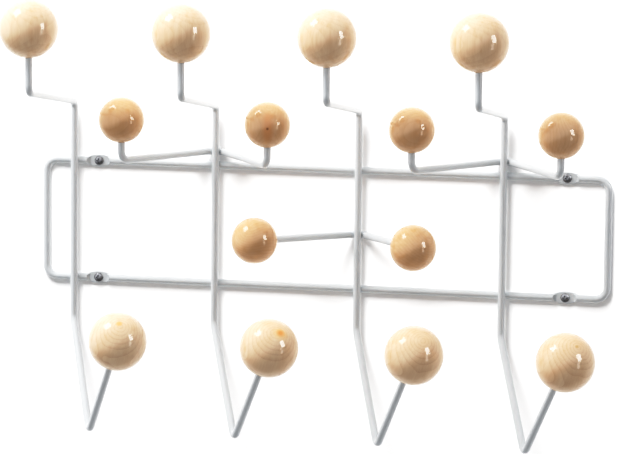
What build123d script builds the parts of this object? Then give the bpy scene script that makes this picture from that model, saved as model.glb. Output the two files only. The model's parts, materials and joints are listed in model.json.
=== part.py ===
from build123d import *
import os
from math import radians, sin, tan

# Wall coat rack of bent steel wire and turned wooden balls.
# Millimetres. +Z is up, -Y is the front and the wall is the plane Y = 0. The origin is the
# centre of the four wall screws, on the wall.

# Wire and welds
wire_diameter = 6.35
weld_sink = 0.3  # how far two crossing wires melt into each other

# Wall frame: one closed loop with four screw lugs pressed flat in its rails
frame_height = 108.2  # over the outside of the wire
frame_corner_radius = 10.0  # to the wire's centre line
first_upright_inset = 29.3  # loop's left end to the first upright
last_upright_inset = 92.1  # last upright to the loop's right end
left_lug_inset = 49.7  # loop's left end to the left screws
right_lug_inset = 38.7  # right screws to the loop's right end
lug_length = 21.0
lug_height = 10.6
lug_thickness = 3.0
lug_edge_round = 0.8
press_length = 16.0  # flat stretch between the two shoulders
press_height = 12.0
press_slope = 35.0  # degrees, how the shoulders lean out

# Hook wires
hook_count = 4
hook_pitch = 125.0
top_reach = 131.1  # upright to the top ball's stem
step_above_rail = 51.8  # top rail to the upright's top corner
step_rise = 19.8  # rise of the step from the upright to the stem
top_ball_above_step = 73.2  # upright's top corner to the top ball's centre
step_bend_radius = 7.0
hook_below_rail = 35.8  # bottom rail to the start of the coat hook
hook_tip_side = 30.8
hook_tip_reach = 55.7
hook_tip_drop = 87.8
hook_ball_side = 72.8
hook_ball_reach = 114.3
hook_ball_rise = 1.3  # lower ball's centre above the start of the coat hook
hook_bend_radius = 12.0
hook_tip_radius = 5.0
hook_turns = (-1.3, 0.8, -0.4, 0.0)  # degrees each hook wire turns about its upright, as welded

# Bow wires
bow_above_rail = 12.1  # top rail to the upper bows
bow_half_span = 62.5  # centre to each riser
bow_half_angle = 33.5  # degrees between an arm and straight ahead
bow_ball_rise = 34.2  # bow to the small balls' centres
bow_nose_radius = 8.0
riser_bend_radius = 8.0
middle_bow_below_centre = 4.5
middle_bow_half_span = 67.8  # centre to each small ball
middle_bow_half_angle = 34.0
middle_bow_rise = 4.8
bow_turns = {"left": 0.9, "right": -1.0, "middle": -1.6}  # degrees, as welded

# Balls
large_ball_diameter = 49.0
small_ball_diameter = 38.4
large_ball_grip = 18.0  # length of wire inside a ball
small_ball_grip = 14.0
bore_clearance = 0.05  # round the wire
bore_end_gap = 1.0  # beyond the wire's end
bore_mouth_chamfer = 0.4

# Wall screws
screw_diameter = 4.0  # over the thread
screw_neck_diameter = 3.6  # plain stretch under the head, as long as the lug is thick
screw_length = 25.0  # under the head
screw_tip_length = 5.0
screw_tip_diameter = 0.6
screw_head_diameter = 7.6
screw_head_height = 2.4
screw_rim_height = 0.9  # straight part of the head's edge
recess_span = 4.2
recess_slot_width = 1.1
recess_depth = 1.5
recess_slope = 12.0  # degrees
screw_hole_clearance = 0.3  # round the thread, in the lug

# Worked out from the sizes above
wire_radius = wire_diameter / 2
frame_width = first_upright_inset + (hook_count - 1) * hook_pitch + last_upright_inset
screw_spacing_x = frame_width - left_lug_inset - right_lug_inset
rail_z = (frame_height - wire_diameter) / 2
frame_left = -screw_spacing_x / 2 - left_lug_inset
frame_centre_x = frame_left + frame_width / 2
frame_wire_y = -wire_radius
upright_y = frame_wire_y - wire_diameter + weld_sink
step_z = rail_z + step_above_rail
hook_z = -rail_z - hook_below_rail
bow_z = rail_z + bow_above_rail


def upright_x(number):
    """The place of an upright's centre line, counted from 1 at the left."""
    return frame_left + first_upright_inset + (number - 1) * hook_pitch


def bent_wire(points, radii):
    """A round wire along straight runs joined by bends of the given centre-line radii."""
    path = FilletPolyline(*points, radius=radii)
    section = Plane(origin=path @ 0, z_dir=path % 0) * Circle(wire_radius)
    return sweep(section, path=path)


def before(end, start, distance):
    """The point on the line from start to end that lies the distance before end."""
    return end - (end - start).normalized() * distance


def turned(shape, number, degrees):
    """The shape turned about an upright's centre line."""
    return shape.rotate(Axis((upright_x(number), upright_y, 0), (0, 0, 1)), degrees)


def wooden_ball(diameter, grip, centre, entry):
    """A turned ball with a blind bore. The wire enters it in the direction of entry."""
    radius = diameter / 2
    bore_depth = grip + bore_end_gap
    bore_radius = wire_radius + bore_clearance
    bore = Cylinder(bore_radius, 2 * bore_depth)
    ball = Sphere(radius) - Location((0, 0, -radius)) * bore
    mouth = ball.edges().filter_by(GeomType.CIRCLE).sort_by(Axis.Z)[0]
    ball = chamfer(mouth, bore_mouth_chamfer)
    return Plane(origin=centre, z_dir=entry) * ball


def wall_screw(x, z):
    """A pan-head wood screw with a cross recess. Its thread is a plain cylinder."""
    head_radius, neck_radius = screw_head_diameter / 2, screw_neck_diameter / 2
    thread_radius, tip_radius = screw_diameter / 2, screw_tip_diameter / 2
    tip_start = screw_tip_length - screw_length
    dome = TangentArc((0, screw_head_height), (head_radius, screw_rim_height), tangent=(1, 0))
    side = Polyline(
        (head_radius, screw_rim_height),
        (head_radius, 0),
        (neck_radius, 0),
        (neck_radius, -lug_thickness),
        (thread_radius, -lug_thickness),
        (thread_radius, tip_start),
        (tip_radius, -screw_length),
        (0, -screw_length),
        (0, screw_head_height),
    )
    screw = revolve(Plane.XZ * make_face(dome + side), Axis.Z)
    slots = Rectangle(recess_span, recess_slot_width) + Rectangle(recess_slot_width, recess_span)
    recess = extrude(slots, -recess_depth, taper=recess_slope)
    screw -= Location((0, 0, screw_head_height)) * recess
    return Plane(origin=(x, -lug_thickness, z), x_dir=(1, 0, 0), z_dir=(0, -1, 0)) * screw


def screw_places():
    """The x and z of the four wall screws."""
    return [
        (side * screw_spacing_x / 2, level * rail_z) for level in (1, -1) for side in (-1, 1)
    ]


def wall_frame():
    """The closed loop, with its rails pressed flat and drilled at the four screws."""
    centre_line = RectangleRounded(
        frame_width - wire_diameter, frame_height - wire_diameter, frame_corner_radius
    )
    facing = Plane(origin=(frame_centre_x, frame_wire_y, 0), x_dir=(1, 0, 0), z_dir=(0, -1, 0))
    path = (facing * centre_line).wire()
    start = Plane(origin=path @ 0, z_dir=path % 0)
    loop = sweep(start * Circle(wire_radius), path=path)
    for x, z in screw_places():
        wall = Plane(origin=(x, 0, z), x_dir=(1, 0, 0), z_dir=(0, -1, 0))
        front = wall.offset(lug_thickness)
        press = extrude(
            front * SlotOverall(press_length, press_height), wire_diameter, taper=-press_slope
        )
        half_length, half_height = lug_length / 2, lug_height / 2
        upper = ThreePointArc(
            (-half_length, wire_radius), (0, half_height), (half_length, wire_radius)
        )
        lower = ThreePointArc(
            (half_length, -wire_radius), (0, -half_height), (-half_length, -wire_radius)
        )
        ends = Line(upper @ 1, lower @ 0) + Line(lower @ 1, upper @ 0)
        outline = make_face(upper + lower + ends)
        lug = extrude(wall * outline, lug_thickness)
        rim = lug.faces().sort_by(Axis.Y)[0].edges().filter_by(GeomType.CIRCLE)
        lug = fillet(rim, lug_edge_round)
        hole = extrude(
            wall * Circle(screw_diameter / 2 + screw_hole_clearance), 2 * lug_thickness, both=True
        )
        loop = loop - press + lug - hole
    return loop


def hook_wire_points():
    """The hook wire's corners, about its own upright, from the top end to the lower end."""
    y = upright_y
    stem_foot = Vector(0, y - top_reach, step_z + step_rise)
    top_ball = Vector(0, y - top_reach, step_z + top_ball_above_step)
    upper_corner = Vector(0, y, step_z)
    lower_corner = Vector(0, y, hook_z)
    tip = Vector(hook_tip_side, y - hook_tip_reach, hook_z - hook_tip_drop)
    lower_ball = Vector(hook_ball_side, y - hook_ball_reach, hook_z + hook_ball_rise)
    return top_ball, stem_foot, upper_corner, lower_corner, tip, lower_ball


def hook(number):
    """One hook wire with its top ball and its lower ball, as a dictionary of nodes."""
    top_ball, stem_foot, upper_corner, lower_corner, tip, lower_ball = hook_wire_points()
    inside = large_ball_diameter / 2 - large_ball_grip
    wire = bent_wire(
        [
            before(top_ball, stem_foot, inside),
            stem_foot,
            upper_corner,
            lower_corner,
            tip,
            before(lower_ball, tip, inside),
        ],
        [step_bend_radius, step_bend_radius, hook_bend_radius, hook_tip_radius],
    )
    upper = wooden_ball(large_ball_diameter, large_ball_grip, top_ball, top_ball - stem_foot)
    lower = wooden_ball(large_ball_diameter, large_ball_grip, lower_ball, lower_ball - tip)
    place = Location((upright_x(number), 0, 0))
    pieces = {"hook_wire": wire, "top_ball": upper, "lower_ball": lower}
    return {
        f"{name}_{number}": turned(place * piece, number, hook_turns[number - 1])
        for name, piece in pieces.items()
    }


def bow_corner(number, z, half_angle):
    """Where a bow's arms would meet if its nose were sharp. The bent nose then lies on the wall."""
    behind_nose = bow_nose_radius * (1 / sin(radians(half_angle)) - 1)
    return Vector(upright_x(number), frame_wire_y + behind_nose, z)


def arm_ends(corner, half_span, half_angle, rise):
    """The left and right ends of a bow's two arms, seen from the front."""
    reach = half_span / tan(radians(half_angle))
    return [corner + Vector(side * half_span, -reach, rise) for side in (-1, 1)]


def upper_bow(name, number, first_ball):
    """An upper bow wire, behind one upright, with its two small balls on turned-up ends."""
    corner = bow_corner(number, bow_z, bow_half_angle)
    feet = arm_ends(corner, bow_half_span, bow_half_angle, rise=0)
    balls = [foot + Vector(0, 0, bow_ball_rise) for foot in feet]
    inside = small_ball_diameter / 2 - small_ball_grip
    ends = [before(ball, foot, inside) for ball, foot in zip(balls, feet)]
    wire = bent_wire(
        [ends[0], feet[0], corner, feet[1], ends[1]],
        [riser_bend_radius, bow_nose_radius, riser_bend_radius],
    )
    pieces = {f"upper_bow_wire_{name}": wire}
    for step, (foot, centre) in enumerate(zip(feet, balls)):
        ball = wooden_ball(small_ball_diameter, small_ball_grip, centre, centre - foot)
        pieces[f"upper_bow_ball_{first_ball + step}"] = ball
    return {node: turned(piece, number, bow_turns[name]) for node, piece in pieces.items()}


def middle_bow(number):
    """The middle bow wire, behind one upright, with straight ends in two small balls."""
    corner = bow_corner(number, -middle_bow_below_centre, middle_bow_half_angle)
    balls = arm_ends(corner, middle_bow_half_span, middle_bow_half_angle, middle_bow_rise)
    inside = small_ball_diameter / 2 - small_ball_grip
    ends = [before(centre, corner, inside) for centre in balls]
    pieces = {"middle_bow_wire": bent_wire([ends[0], corner, ends[1]], [bow_nose_radius])}
    for name, centre in zip(("left", "right"), balls):
        ball = wooden_ball(small_ball_diameter, small_ball_grip, centre, centre - corner)
        pieces[f"middle_bow_ball_{name}"] = ball
    return {node: turned(piece, number, bow_turns["middle"]) for node, piece in pieces.items()}


nodes = {"wall_frame": wall_frame()}
for number in range(1, hook_count + 1):
    nodes |= hook(number)
nodes |= upper_bow("left", 2, first_ball=1)
nodes |= upper_bow("right", 4, first_ball=3)
nodes |= middle_bow(3)
nodes["wall_screws"] = Compound([wall_screw(x, z) for x, z in screw_places()])

os.makedirs("parts", exist_ok=True)
for node, shape in nodes.items():
    export_step(shape, f"parts/{node}.step")
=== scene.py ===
import json
from math import cos, pi, radians, sin, sqrt, tau

import bmesh
import bpy
from mathutils import Matrix, Quaternion, Vector

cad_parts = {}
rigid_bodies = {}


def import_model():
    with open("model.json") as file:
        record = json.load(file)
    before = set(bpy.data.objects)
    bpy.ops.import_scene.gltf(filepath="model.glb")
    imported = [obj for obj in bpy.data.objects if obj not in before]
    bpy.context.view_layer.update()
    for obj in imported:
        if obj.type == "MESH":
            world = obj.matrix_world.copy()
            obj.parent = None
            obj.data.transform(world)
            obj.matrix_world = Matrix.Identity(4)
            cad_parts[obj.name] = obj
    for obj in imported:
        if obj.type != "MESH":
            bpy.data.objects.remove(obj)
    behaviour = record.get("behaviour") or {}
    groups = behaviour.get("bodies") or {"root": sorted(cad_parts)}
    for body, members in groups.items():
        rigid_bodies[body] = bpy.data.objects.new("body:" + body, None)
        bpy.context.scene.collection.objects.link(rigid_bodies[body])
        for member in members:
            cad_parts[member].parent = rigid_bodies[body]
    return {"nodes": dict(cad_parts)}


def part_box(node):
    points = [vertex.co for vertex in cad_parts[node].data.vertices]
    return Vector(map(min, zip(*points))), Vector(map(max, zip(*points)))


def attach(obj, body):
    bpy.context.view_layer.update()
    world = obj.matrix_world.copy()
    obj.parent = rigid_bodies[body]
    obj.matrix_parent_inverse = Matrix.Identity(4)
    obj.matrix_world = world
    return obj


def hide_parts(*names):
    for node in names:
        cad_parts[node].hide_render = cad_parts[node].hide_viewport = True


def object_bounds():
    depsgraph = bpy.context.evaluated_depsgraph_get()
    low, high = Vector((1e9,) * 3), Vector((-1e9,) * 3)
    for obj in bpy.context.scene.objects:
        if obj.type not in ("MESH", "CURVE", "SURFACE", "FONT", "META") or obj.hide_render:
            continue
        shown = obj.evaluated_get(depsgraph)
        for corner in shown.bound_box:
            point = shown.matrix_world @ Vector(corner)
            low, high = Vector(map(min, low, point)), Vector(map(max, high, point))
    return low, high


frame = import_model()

rack_low, rack_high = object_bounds()
rack_middle = (rack_low + rack_high) / 2

# Camera. It stands a little to the right of the rack and above it, far enough away for a long
# lens, and is turned a touch about its own axis.
view_azimuth, view_elevation, view_roll = radians(12.184), radians(7.977), radians(0.648)
view_distance = 3.378
aim_from_middle = Vector((-0.0016, 0.0114, -0.0043))
aim = rack_middle + aim_from_middle
away = Vector(
    (
        sin(view_azimuth) * cos(view_elevation),
        -cos(view_azimuth) * cos(view_elevation),
        sin(view_elevation),
    )
)
camera_data = bpy.data.cameras.new("camera")
camera_data.sensor_width = 36.0
camera_data.lens = 233.03
camera = bpy.data.objects.new("camera", camera_data)
camera.location = aim + away * view_distance
camera.rotation_mode = "QUATERNION"
camera.rotation_quaternion = (-away).to_track_quat("-Z", "Y") @ Quaternion((0, 0, 1), view_roll)
bpy.context.scene.collection.objects.link(camera)
bpy.context.scene.camera = camera

# Print tone. One curve for all three colours makes the dark tones a little darker and the light
# ones a little lighter, as a harder print would.
print_tone = bpy.context.scene.view_settings
print_tone.view_transform = "Standard"
print_tone.use_curve_mapping = True
all_colours = 3
tone_curve = print_tone.curve_mapping.curves[all_colours]
dark_tones = ((0.17, 0.125), (0.35, 0.345))
light_tones = ((0.52, 0.60), (0.70, 0.80), (0.87, 0.93))
for lit_tone, printed_tone in dark_tones + light_tones:
    tone_curve.points.new(lit_tone, printed_tone)
print_tone.curve_mapping.update()


# Room. The rack hangs on a plain white panel that stands on a pale floor, both painted matt. The
# panel is clear from behind and lets the lamps' light through, so that the back of the rack can be
# seen as well, and the floor is clear from below.
def add(tree, kind, inputs=(), **settings):
    """Adds a shader node. An input given as a socket is linked, and any other is set."""
    made = tree.nodes.new("ShaderNode" + kind)
    for name, value in settings.items():
        setattr(made, name, value)
    for name, value in dict(inputs).items():
        if isinstance(value, bpy.types.NodeSocket):
            tree.links.new(value, made.inputs[name])
        else:
            made.inputs[name].default_value = value
    return made


def new_material(name):
    """An empty material, its node tree and the socket that its surface goes into."""
    material = bpy.data.materials.new(name)
    material.use_nodes = True
    tree = material.node_tree
    tree.nodes.clear()
    return material, tree, add(tree, "OutputMaterial").inputs["Surface"]


def either(tree, share, shader, other):
    """Two shaders as one. A share of 0 is all the first, and a share of 1 all the other."""
    return add(tree, "MixShader", {0: share, 1: shader, 2: other}).outputs[0]


def room_sheet(name, corners, material):
    """A flat four-cornered sheet of the room, seen from the side that its corners run
    anticlockwise on."""
    mesh = bpy.data.meshes.new(name)
    mesh.from_pydata(corners, [], [(0, 1, 2, 3)])
    mesh.materials.append(material)
    sheet = bpy.data.objects.new(name, mesh)
    bpy.context.scene.collection.objects.link(sheet)
    return sheet


panel_half_width, panel_top, floor_level, floor_half_size = 0.95, 0.95, -1.1, 4.0
panel_face = 0.0004  # just behind the wires that lie on the wall

panel_paint, tree, surface = new_material("panel_paint")
mottle = add(tree, "TexNoise", {"Scale": 30.0, "Detail": 2.0})
tone = add(tree, "MapRange", {"Value": mottle.outputs[0], "To Min": 0.88, "To Max": 0.91})
matt = add(tree, "BsdfDiffuse", {"Color": tone.outputs[0]})
glow = add(tree, "Emission", {"Color": (1, 1, 1, 1), "Strength": 0.02})
painted = add(tree, "AddShader", {0: matt.outputs[0], 1: glow.outputs[0]})
through = add(tree, "BsdfTransparent")
from_behind = add(tree, "NewGeometry").outputs["Backfacing"]
by_shadow = add(tree, "LightPath").outputs["Is Shadow Ray"]
clear = add(tree, "Math", {0: from_behind, 1: by_shadow}, operation="MAXIMUM")
sided = either(tree, clear.outputs[0], painted.outputs[0], through.outputs[0])
tree.links.new(sided, surface)

floor_paint, tree, surface = new_material("floor_paint")
mottle = add(tree, "TexNoise", {"Scale": 8.0, "Detail": 3.0})
tone = add(tree, "MapRange", {"Value": mottle.outputs[0], "To Min": 0.74, "To Max": 0.80})
matt = add(tree, "BsdfDiffuse", {"Color": tone.outputs[0]})
through = add(tree, "BsdfTransparent")
from_below = add(tree, "NewGeometry").outputs["Backfacing"]
tree.links.new(either(tree, from_below, matt.outputs[0], through.outputs[0]), surface)

room_sheet(
    "panel",
    [
        (-panel_half_width, panel_face, floor_level),
        (panel_half_width, panel_face, floor_level),
        (panel_half_width, panel_face, panel_top),
        (-panel_half_width, panel_face, panel_top),
    ],
    panel_paint,
)
floor = room_sheet(
    "floor",
    [
        (-floor_half_size, -floor_half_size, floor_level),
        (floor_half_size, -floor_half_size, floor_level),
        (floor_half_size, floor_half_size, floor_level),
        (-floor_half_size, floor_half_size, floor_level),
    ],
    floor_paint,
)
floor.visible_diffuse = False
floor.visible_glossy = False


# Light. A large softbox high on the left, and a tall window and a low reflector on the right, make
# the highlights on each ball. Broad fills above, on the left, in front and behind soften the shade
# and make none. Two washes light the panel alone and the floor alone.
def softbox(name, direction, size, power, distance=2.3, diffuse=True, mirrored=True, lights_only=None):
    """An area lamp that faces the middle of the rack. Diffuse and mirrored say whether it falls on
    matt skins and whether it shows in shiny ones. It lights one sheet of the room only, or else
    everything but the panel."""
    lamp = bpy.data.lights.new(name, "AREA")
    lamp.shape = "RECTANGLE"
    lamp.size, lamp.size_y = size
    lamp.energy = power
    box = bpy.data.objects.new(name, lamp)
    towards = Vector(direction).normalized()
    box.location = rack_middle + towards * distance
    box.rotation_mode = "QUATERNION"
    box.rotation_quaternion = towards.to_track_quat("Z", "Y")
    box.visible_diffuse = diffuse
    box.visible_glossy = mirrored
    box.visible_camera = False
    bpy.context.scene.collection.objects.link(box)
    linked = bpy.data.collections.new(name + "_linked")
    linked.objects.link(bpy.data.objects[lights_only or "panel"])
    box.light_linking.receiver_collection = linked
    if not lights_only:
        linked.collection_objects[0].light_linking.link_state = "EXCLUDE"


softbox("high_softbox", (-0.58, -0.21, 0.79), (0.95, 0.80), power=26.0)
softbox("high_fill", (-0.42, -0.42, 0.80), (1.3, 1.3), power=19.0, mirrored=False)
softbox("left_screen", (-0.93, -0.36, 0.10), (1.3, 1.3), power=5.0, mirrored=False)
softbox("front_fill", (0.20, -0.96, 0.15), (1.3, 1.3), power=2.0, mirrored=False)
softbox("right_window", (0.885, -0.342, 0.315), (0.55, 0.80), power=20.0, distance=2.0, diffuse=False)
softbox("right_reflector", (0.876, -0.463, -0.084), (0.35, 0.70), power=3.5, distance=2.0, diffuse=False)
softbox("behind", (0.0, 1.0, 0.1), (1.3, 1.3), power=15.0, distance=2.5, mirrored=False)
softbox("panel_wash", (-0.17, -0.55, 0.82), (0.8, 1.4), power=124.0, lights_only="panel")
softbox("floor_wash", (0.0, 0.05, 1.0), (2.8, 2.8), power=130.0, distance=2.6, lights_only="floor")

# Room light. It is strongest from above on the left, and weak from below on the right. From above,
# shiny skins mirror a far stronger light than the one that falls on them, like a white ceiling.
world = bpy.data.worlds.new("room_light")
world.use_nodes = True
tree = world.node_tree
tree.nodes.clear()
outwards = add(tree, "TexCoord").outputs["Generated"]
brightest_way = Vector((-0.42, -0.15, 0.89)).normalized()
height = add(tree, "VectorMath", {0: outwards, 1: brightest_way}, operation="DOT_PRODUCT")
share = add(
    tree,
    "MapRange",
    {"Value": height.outputs["Value"], "From Min": -0.2, "From Max": 0.3},
    interpolation_type="SMOOTHSTEP",
)
soft_power = add(tree, "MapRange", {"Value": share.outputs[0], "To Min": 0.36, "To Max": 0.42})
shiny_power = add(tree, "MapRange", {"Value": share.outputs[0], "To Min": 0.30, "To Max": 2.7})
soft = add(tree, "Background", {"Color": (0.98, 0.985, 1.0, 1), "Strength": soft_power.outputs[0]})
shiny = add(tree, "Background", {"Color": (0.95, 0.97, 1.0, 1), "Strength": shiny_power.outputs[0]})
seen = add(tree, "Background", {"Color": (0.92, 0.93, 0.95, 1), "Strength": 0.95})
ray = add(tree, "LightPath")
unseen = either(tree, ray.outputs["Is Glossy Ray"], soft.outputs[0], shiny.outputs[0])
room = either(tree, ray.outputs["Is Camera Ray"], unseen, seen.outputs[0])
add(tree, "OutputWorld", {"Surface": room})
bpy.context.scene.world = world


# Wires. The wall frame, the four hook wires and the three bow wires are round steel wire, bent
# cold, spot welded and then powder coated in a satin cool white.
def tinted(tree, share, ground, tint):
    """The ground colour with a share of a tint over it, as a colour socket."""
    factor, first_colour, second_colour, result_colour = 0, 6, 7, 2
    inputs = {factor: share, first_colour: ground, second_colour: (*tint, 1)}
    return add(tree, "Mix", inputs, data_type="RGBA").outputs[result_colour]


white_coat, tree, surface = new_material("white_powder_coat")
place = add(tree, "TexCoord").outputs["Object"]
cloud = add(tree, "TexNoise", {"Vector": place, "Scale": 60.0, "Detail": 3.0})
peel = add(tree, "TexNoise", {"Vector": place, "Scale": 1400.0, "Detail": 2.0})
coat_tone = tinted(tree, cloud.outputs[0], (0.60, 0.625, 0.64, 1), (0.645, 0.67, 0.685))
coat_gloss = add(tree, "MapRange", {"Value": cloud.outputs[0], "To Min": 0.30, "To Max": 0.42})
skin = add(tree, "Bump", {"Height": peel.outputs[0], "Strength": 0.12, "Distance": 0.00008})
coat = add(
    tree,
    "BsdfPrincipled",
    {
        "Base Color": coat_tone,
        "Roughness": coat_gloss.outputs[0],
        "Normal": skin.outputs[0],
        "Coat Weight": 0.4,
        "Coat Roughness": 0.14,
    },
)
tree.links.new(coat.outputs[0], surface)

wire_nodes = ["wall_frame", "upper_bow_wire_left", "upper_bow_wire_right", "middle_bow_wire"]
wire_nodes += [f"hook_wire_{number}" for number in range(1, 5)]
for wire_node in wire_nodes:
    wire = frame["nodes"][wire_node]
    wire.data.materials.clear()
    wire.data.materials.append(white_coat)


# Spot welds. Where an upright crosses a rail or the nose of a bow wire, the steel has flowed into
# a small hollow-sided collar round the place where they touch. It is coated with the wires.
def mesh_object(name, mesh_maker, material):
    """The finished mesh as a piece of the rack, its sharp corners kept sharp."""
    sharp_corner = 0.6  # radians
    bmesh.ops.recalc_face_normals(mesh_maker, faces=mesh_maker.faces)
    for face in mesh_maker.faces:
        face.smooth = True
    for edge in mesh_maker.edges:
        edge.smooth = edge.calc_face_angle(0) < sharp_corner
    mesh = bpy.data.meshes.new(name)
    mesh_maker.to_mesh(mesh)
    mesh_maker.free()
    mesh.materials.append(material)
    piece = bpy.data.objects.new(name, mesh)
    bpy.context.scene.collection.objects.link(piece)
    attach(piece, "root")
    return piece


def skin_between(mesh_maker, rings):
    """Faces from each ring of points to the next. A ring of one point closes an end."""
    made = [[mesh_maker.verts.new(point) for point in ring] for ring in rings]
    count = max(len(ring) for ring in made)
    for one, other in zip(made, made[1:]):
        for k in range(count):
            corners = [one[k % len(one)], one[(k + 1) % len(one)]]
            corners += [other[(k + 1) % len(other)], other[k % len(other)]]
            mesh_maker.faces.new(dict.fromkeys(corners))


wire_radius = 0.003175
weld_sink = 0.0003  # how far two crossing wires melt into each other
screw_low, screw_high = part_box("wall_screws")
screw_head_radius = 0.0038
rail_levels = (screw_low.z + screw_head_radius, screw_high.z - screw_head_radius)


def weld_collar(name, upright_x, level):
    """A collar between an upright, in front, and the wire that lies on the wall behind it."""
    foot_radius, waist_radius, sunk = 0.0026, 0.0019, 0.00006
    steps, sides = 8, 48
    upright_y, rear_y = -3 * wire_radius + weld_sink, -wire_radius
    rings = [[(upright_x, rear_y, level)]]
    for step in range(steps + 1):
        share = step / steps
        out = foot_radius - (foot_radius - waist_radius) * sin(pi * share)
        ring = []
        for side in range(sides):
            across, up = out * cos(tau * side / sides), out * sin(tau * side / sides)
            rear_face = rear_y - sqrt(wire_radius**2 - up**2) + sunk
            upright_face = upright_y + sqrt(wire_radius**2 - across**2) - sunk
            depth = rear_face + (upright_face - rear_face) * share
            ring.append((upright_x + across, depth, level + up))
        rings.append(ring)
    rings.append([(upright_x, upright_y, level)])
    mesh_maker = bmesh.new()
    skin_between(mesh_maker, rings)
    mesh_object(name, mesh_maker, white_coat)


# How near is near enough: in depth to the point nearest the wall, to the wall, and across.
same_depth, nose_depth, same_upright = 0.00002, 0.0005, 0.004
for number in range(1, 5):
    points = [corner.co for corner in frame["nodes"][f"hook_wire_{number}"].data.vertices]
    nearest_wall = max(point.y for point in points)
    back_line = [point.x for point in points if point.y > nearest_wall - same_depth]
    upright_x = sum(back_line) / len(back_line)
    for level_name, level in zip(("lower", "upper"), rail_levels):
        weld_collar(f"weld_{number}_{level_name}_rail", upright_x, level)
    for bow_node in ("upper_bow_wire_left", "upper_bow_wire_right", "middle_bow_wire"):
        bow_points = [corner.co for corner in frame["nodes"][bow_node].data.vertices]
        nose = [point for point in bow_points if point.y > -nose_depth]
        nose_x = sum(point.x for point in nose) / len(nose)
        if abs(nose_x - upright_x) < same_upright:
            bow_level = sum(point.z for point in nose) / len(nose)
            weld_collar(f"weld_{number}_bow_nose", upright_x, bow_level)


# Balls. Eight large and six small ones are turned from pale maple on a lathe, about the blind bore
# that the wire is glued into, and dipped in clear gloss lacquer.
def wire_end(wire_node, ball_middle, reach):
    """The middle of the wire's end inside a ball, from the wire's points nearest to its middle."""
    points = [corner.co for corner in frame["nodes"][wire_node].data.vertices]
    near = [point for point in points if (point - ball_middle).length < reach]
    return sum(near, Vector()) / len(near)


def ball_seat(cad_node, wire_node, grip):
    """A ball's middle, its radius and the way the wire goes into it. The bore takes a little off
    the ball on the side that the wire comes in by, so the middle is found from the other side."""
    slack = 0.0046  # takes in the rim of the wire's end and nothing further along the wire
    low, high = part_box(cad_node)
    radius = max(high - low) / 2
    rough_middle = (low + high) / 2
    end = wire_end(wire_node, rough_middle, radius - grip + slack)
    entry = (rough_middle - end).normalized()
    middle = Vector(
        most - radius if onwards > 0 else least + radius
        for least, most, onwards in zip(low, high, entry)
    )
    return middle, radius, entry


# The balls throw no shadow of the panel's own lamp.
no_wash_shadow = bpy.data.collections.new("no_wash_shadow")
bpy.data.objects["panel_wash"].light_linking.blocker_collection = no_wash_shadow


def turned_ball(cad_node, middle, radius, entry, grip, wood):
    """A lathe-turned ball with a blind bore, in the place of its CAD solid."""
    bore_clearance, mouth_chamfer, bore_end_gap = 0.00005, 0.0004, 0.001
    arc_steps, sides = 72, 96
    bore = wire_radius + bore_clearance
    bore_end = -radius + grip + bore_end_gap
    mouth = bore + mouth_chamfer
    mouth_depth = sqrt(radius**2 - mouth**2)
    profile = [(0, bore_end), (bore, bore_end)]
    profile += [(bore, -mouth_depth + mouth_chamfer), (mouth, -mouth_depth)]
    first = -pi / 2 + mouth / radius
    for step in range(1, arc_steps + 1):
        angle = first + (pi / 2 - first) * step / arc_steps
        profile.append((radius * cos(angle) if step < arc_steps else 0, radius * sin(angle)))
    turns = [tau * side / sides for side in range(sides)]
    rings = []
    for out, up in profile:
        round_it = turns if out else turns[:1]
        rings.append([(out * cos(turn), out * sin(turn), up) for turn in round_it])
    mesh_maker = bmesh.new()
    skin_between(mesh_maker, rings)
    ball = mesh_object(cad_node + "_turned", mesh_maker, wood)
    ball.data.transform(entry.to_track_quat("Z", "Y").to_matrix().to_4x4())
    ball.location = middle
    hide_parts(cad_node)
    no_wash_shadow.objects.link(ball)
    no_wash_shadow.collection_objects[-1].light_linking.link_state = "EXCLUDE"


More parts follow.
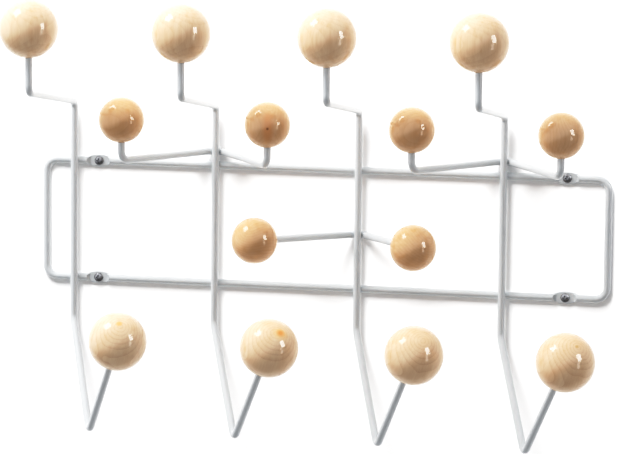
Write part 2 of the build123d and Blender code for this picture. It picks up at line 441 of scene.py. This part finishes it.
def lacquered_maple(name, entry, pale, warm, pith, ring_gap, ring_share, streak_share, cut, knots):
    """Maple under clear gloss lacquer, with the grain along the bore. The pith is where the middle
    of the tree lies beside it. The shares are how strongly the year rings and the streaks of colour
    show, and cut is how far along the board the ball was cut. A knot has a middle, a size, a scale
    along the grain and a tint. Any scale under 1 along the grain draws the figure out."""
    ring_brown, fibre_brown, streak_brown = (0.52, 0.27, 0.10), (0.55, 0.33, 0.16), (0.62, 0.36, 0.15)
    sway_width, late_sharpness, heart_share = 0.004, 3.0, 0.3
    material, tree, surface = new_material(name)
    place = add(tree, "TexCoord").outputs["Object"]
    turn = entry.to_track_quat("Z", "Y").inverted().to_euler()
    grain = add(tree, "Mapping", {"Vector": place, "Rotation": turn}).outputs[0]
    shifted = add(tree, "VectorMath", {0: grain, 1: (cut, cut / 2, -cut)}).outputs[0]
    along = add(tree, "Mapping", {"Vector": shifted, "Scale": (1, 1, 0.2)}).outputs[0]
    sway = add(tree, "TexNoise", {"Vector": along, "Scale": 45.0, "Detail": 2.0})
    swayed = add(
        tree,
        "VectorMath",
        {0: sway.outputs["Color"], 1: (sway_width, sway_width, 0.0), 2: grain},
        operation="MULTIPLY_ADD",
    )
    from_pith = add(
        tree,
        "Mapping",
        {"Vector": swayed.outputs[0], "Location": (-pith[0], -pith[1], 0), "Scale": (1, 1, 0.04)},
    )
    distance = add(tree, "VectorMath", {0: from_pith.outputs[0]}, operation="LENGTH")
    years = add(tree, "Math", {0: distance.outputs["Value"], 1: ring_gap}, operation="DIVIDE")
    year = add(tree, "Math", {0: years.outputs[0]}, operation="FRACT")
    late_wood = add(tree, "Math", {0: year.outputs[0], 1: late_sharpness}, operation="POWER")
    mottle = add(tree, "TexNoise", {"Vector": along, "Scale": 60.0, "Detail": 3.0})
    cloud = add(tree, "MapRange", {"Value": mottle.outputs[0], "From Min": 0.3, "From Max": 0.7})
    fibre_place = add(tree, "Mapping", {"Vector": shifted, "Scale": (1, 1, 0.06)})
    fibres = add(tree, "TexNoise", {"Vector": fibre_place.outputs[0], "Scale": 800.0, "Detail": 4.0})
    streaks = add(tree, "TexNoise", {"Vector": fibre_place.outputs[0], "Scale": 260.0, "Detail": 2.0})
    colour = tinted(tree, cloud.outputs[0], (*pale, 1), warm)
    late_share = add(tree, "Math", {0: late_wood.outputs[0], 1: ring_share}, operation="MULTIPLY")
    colour = tinted(tree, late_share.outputs[0], colour, ring_brown)
    fibre_range = {"Value": fibres.outputs[0], "From Min": 0.35, "From Max": 0.7, "To Max": 0.16}
    colour = tinted(tree, add(tree, "MapRange", fibre_range).outputs[0], colour, fibre_brown)
    streak_range = {"Value": streaks.outputs[0], "From Min": 0.45, "From Max": 0.75}
    streak_range["To Max"] = streak_share
    colour = tinted(tree, add(tree, "MapRange", streak_range).outputs[0], colour, streak_brown)
    for middle, size, grain_scale, tint in knots:
        near = add(tree, "Mapping", {"Vector": swayed.outputs[0], "Scale": (1, 1, grain_scale)})
        in_grain = entry.to_track_quat("Z", "Y").inverted() @ middle
        in_sway = sway_width / 2
        heart = Vector((in_grain.x + in_sway, in_grain.y + in_sway, in_grain.z * grain_scale))
        from_heart = add(tree, "VectorMath", {0: near.outputs[0], 1: heart}, operation="DISTANCE")
        edge = {"Value": from_heart.outputs["Value"], "From Min": size, "From Max": size * heart_share}
        colour = tinted(tree, add(tree, "MapRange", edge).outputs[0], colour, tint)
    pores = add(tree, "Bump", {"Height": fibres.outputs[0], "Strength": 0.03, "Distance": 0.0001})
    dullness = add(tree, "MapRange", {"Value": fibres.outputs[0], "To Min": 0.42, "To Max": 0.55})
    wood = add(
        tree,
        "BsdfPrincipled",
        {
            "Base Color": colour,
            "Roughness": dullness.outputs[0],
            "Specular IOR Level": 0.12,
            "Normal": pores.outputs[0],
            "Coat Weight": 0.8,
            "Coat Roughness": 0.02,
            "Coat IOR": 1.45,
        },
    )
    tree.links.new(wood.outputs[0], surface)
    return material


def facing(across, up):
    """The way out of a ball to a mark on its front, which lies across and up by shares of its
    radius."""
    return camera.rotation_quaternion @ Vector((across, up, sqrt(1 - across**2 - up**2)))


# Each knot is given by its place across and up the ball's front, its size, its scale along the
# grain and its tint.
ball_knots = {
    "lower_ball_1": [(0.10, 0.62, 0.0034, 0.5, (0.84, 0.47, 0.19))],
    "lower_ball_2": [
        (0.40, 0.51, 0.0080, 1.0, (0.85, 0.55, 0.27)),
        (0.40, 0.54, 0.0046, 1.0, (0.80, 0.36, 0.09)),
    ],
    "lower_ball_4": [(0.34, 0.56, 0.0022, 1.0, (0.66, 0.42, 0.18))],
    "upper_bow_ball_2": [
        (0.0, -0.15, 0.0060, 0.12, (0.68, 0.36, 0.15)),
        (0.0, -0.20, 0.0015, 1.0, (0.34, 0.13, 0.05)),
    ],
}


def knots_of(cad_node, radius):
    """The knots that a ball has, at their places in it."""
    placed = []
    for across, up, size, grain_scale, tint in ball_knots.get(cad_node, ()):
        placed.append((facing(across, up) * radius, size, grain_scale, tint))
    return placed


large_grip, small_grip = 0.018, 0.014
for number in range(1, 5):
    for row in ("top", "lower"):
        node = f"{row}_ball_{number}"
        middle, radius, entry = ball_seat(node, f"hook_wire_{number}", large_grip)
        wood = lacquered_maple(
            f"{node}_maple",
            entry,
            pale=(0.87, 0.69 - 0.008 * number, 0.50 - 0.012 * number),
            warm=(0.82, 0.61 - 0.008 * number, 0.41 - 0.01 * number),
            pith=(0.002 * number - 0.004, -0.003),
            ring_gap=0.0026,
            ring_share=0.28 if row == "lower" else 0.14,
            streak_share=0.15 if row == "lower" else 0.32,
            cut=0.13 * number,
            knots=knots_of(node, radius),
        )
        turned_ball(node, middle, radius, entry, large_grip, wood)

small_balls = {f"upper_bow_ball_{number}": "upper_bow_wire_left" for number in (1, 2)}
small_balls |= {f"upper_bow_ball_{number}": "upper_bow_wire_right" for number in (3, 4)}
small_balls |= {f"middle_bow_ball_{side}": "middle_bow_wire" for side in ("left", "right")}
for count, (node, wire_node) in enumerate(small_balls.items()):
    middle, radius, entry = ball_seat(node, wire_node, small_grip)
    wood = lacquered_maple(
        f"{node}_maple",
        entry,
        pale=(0.74, 0.495, 0.29),
        warm=(0.63, 0.39, 0.20),
        pith=(0.012, 0.004 * count),
        ring_gap=0.0022,
        ring_share=0.22,
        streak_share=0.40,
        cut=0.21 * count + 0.7,
        knots=knots_of(node, radius),
    )
    turned_ball(node, middle, radius, entry, small_grip, wood)


# Wall screws. Four pan-head steel screws with a cross recess, zinc plated and dark, hold the rack at
# its lugs. Each has a plain neck through the lug, a rolled thread in the wall and a cone tip.
plated_steel, tree, surface = new_material("plated_steel")
place = add(tree, "TexCoord").outputs["Object"]
haze = add(tree, "TexNoise", {"Vector": place, "Scale": 900.0, "Detail": 3.0})
steel_tone = tinted(tree, haze.outputs[0], (0.12, 0.12, 0.125, 1), (0.22, 0.22, 0.225))
steel_gloss = add(tree, "MapRange", {"Value": haze.outputs[0], "To Min": 0.22, "To Max": 0.38})
steel = add(
    tree,
    "BsdfPrincipled",
    {"Base Color": steel_tone, "Roughness": steel_gloss.outputs[0], "Metallic": 1.0},
)
tree.links.new(steel.outputs[0], surface)


def screw_rings(head_front, head_back, length, thread_start):
    """Rings of points from the middle of a pan head to the tip of a screw that points along Y."""
    neck_radius, thread_radius, core_radius, pitch = 0.0018, 0.0020, 0.00145, 0.0016
    rim, edge_break, crown_out, crown_down, dome_steps = 0.0009, 0.0001, 0.9, 1.15, 10
    ridge_half_width, tip_length, tip_share, tip_cut = 0.32, 0.005, 0.12, 0.0001
    steps_each_turn, sides = 8, 40
    turns = [tau * side / sides for side in range(sides)]
    outline = []
    dome = head_back - head_front - rim
    for step in range(1, dome_steps + 1):
        angle = pi / 2 * step / dome_steps
        depth = head_front + dome * (1 - cos(angle)) ** crown_down
        outline.append((screw_head_radius * sin(angle) ** crown_out, depth))
    outline.append((screw_head_radius, head_back - edge_break))
    outline.append((screw_head_radius - edge_break, head_back))
    outline.append((neck_radius, head_back))
    outline.append((neck_radius, thread_start))
    rings = [[(out * cos(turn), depth, out * sin(turn)) for turn in turns] for out, depth in outline]
    end = head_back + length - tip_cut
    steps = int((end - thread_start) / pitch * steps_each_turn)
    for step in range(1, steps + 1):
        depth = thread_start + (end - thread_start) * step / steps
        narrowing = min(1, (end - depth) / tip_length)
        run_in = min(1, (depth - thread_start) / pitch)
        ring = []
        for side, turn in enumerate(turns):
            from_ridge = abs((depth / pitch - side / sides) % 1 - 0.5)
            ridge = max(0, 1 - from_ridge / ridge_half_width) * run_in * narrowing**0.5
            out = core_radius + (thread_radius - core_radius) * ridge
            out *= tip_share + (1 - tip_share) * narrowing
            ring.append((out * cos(turn), depth, out * sin(turn)))
        rings.append(ring)
    return [[(0, head_front, 0)], *rings, [(0, end + tip_cut, 0)]]


def recess_rings(head_front):
    """Rings of points for a cross-shaped punch that narrows towards its end."""
    reach, half_width, depth, point = 0.0021, 0.00055, 0.0015, 0.0002
    proud, mouth_share, end_share = 0.0004, 1.1, 0.62
    arm = ((-half_width, half_width), (-half_width, reach), (half_width, reach))
    outline = []
    for quarter in range(4):
        for across, along in arm:
            for _ in range(quarter):
                across, along = along, -across
            outline.append((across, along))
    start, end = head_front - proud, head_front + depth
    mouth_ring = [(across * mouth_share, start, along * mouth_share) for across, along in outline]
    end_ring = [(across * end_share, end, along * end_share) for across, along in outline]
    return [[(0, start, 0)], mouth_ring, end_ring, [(0, end + point, 0)]]


def loose_solid(name, rings):
    """A solid over rings of points that isn't yet a piece of the rack."""
    mesh_maker = bmesh.new()
    skin_between(mesh_maker, rings)
    bmesh.ops.recalc_face_normals(mesh_maker, faces=mesh_maker.faces)
    mesh = bpy.data.meshes.new(name)
    mesh_maker.to_mesh(mesh)
    mesh_maker.free()
    solid = bpy.data.objects.new(name, mesh)
    bpy.context.scene.collection.objects.link(solid)
    return solid


screw_length, head_height, wall_plane = 0.025, 0.0024, 0.0
head_front = screw_low.y
blank_rings = screw_rings(head_front, head_front + head_height, screw_length, wall_plane)
blank = loose_solid("blank", blank_rings)
punch = loose_solid("punch", recess_rings(head_front))
recess = blank.modifiers.new("recess", "BOOLEAN")
recess.operation = "DIFFERENCE"
recess.solver = "EXACT"
recess.object = punch
bpy.context.view_layer.update()
punched = blank.evaluated_get(bpy.context.evaluated_depsgraph_get())
one_screw = bpy.data.meshes.new_from_object(punched)
bpy.data.objects.remove(blank)
bpy.data.objects.remove(punch)

mesh_maker = bmesh.new()
for across in (screw_low.x + screw_head_radius, screw_high.x - screw_head_radius):
    for level in rail_levels:
        moved = one_screw.copy()
        moved.transform(Matrix.Translation((across, 0, level)))
        mesh_maker.from_mesh(moved)
four_screws = mesh_object("wall_screws_threaded", mesh_maker, plated_steel)
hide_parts("wall_screws")
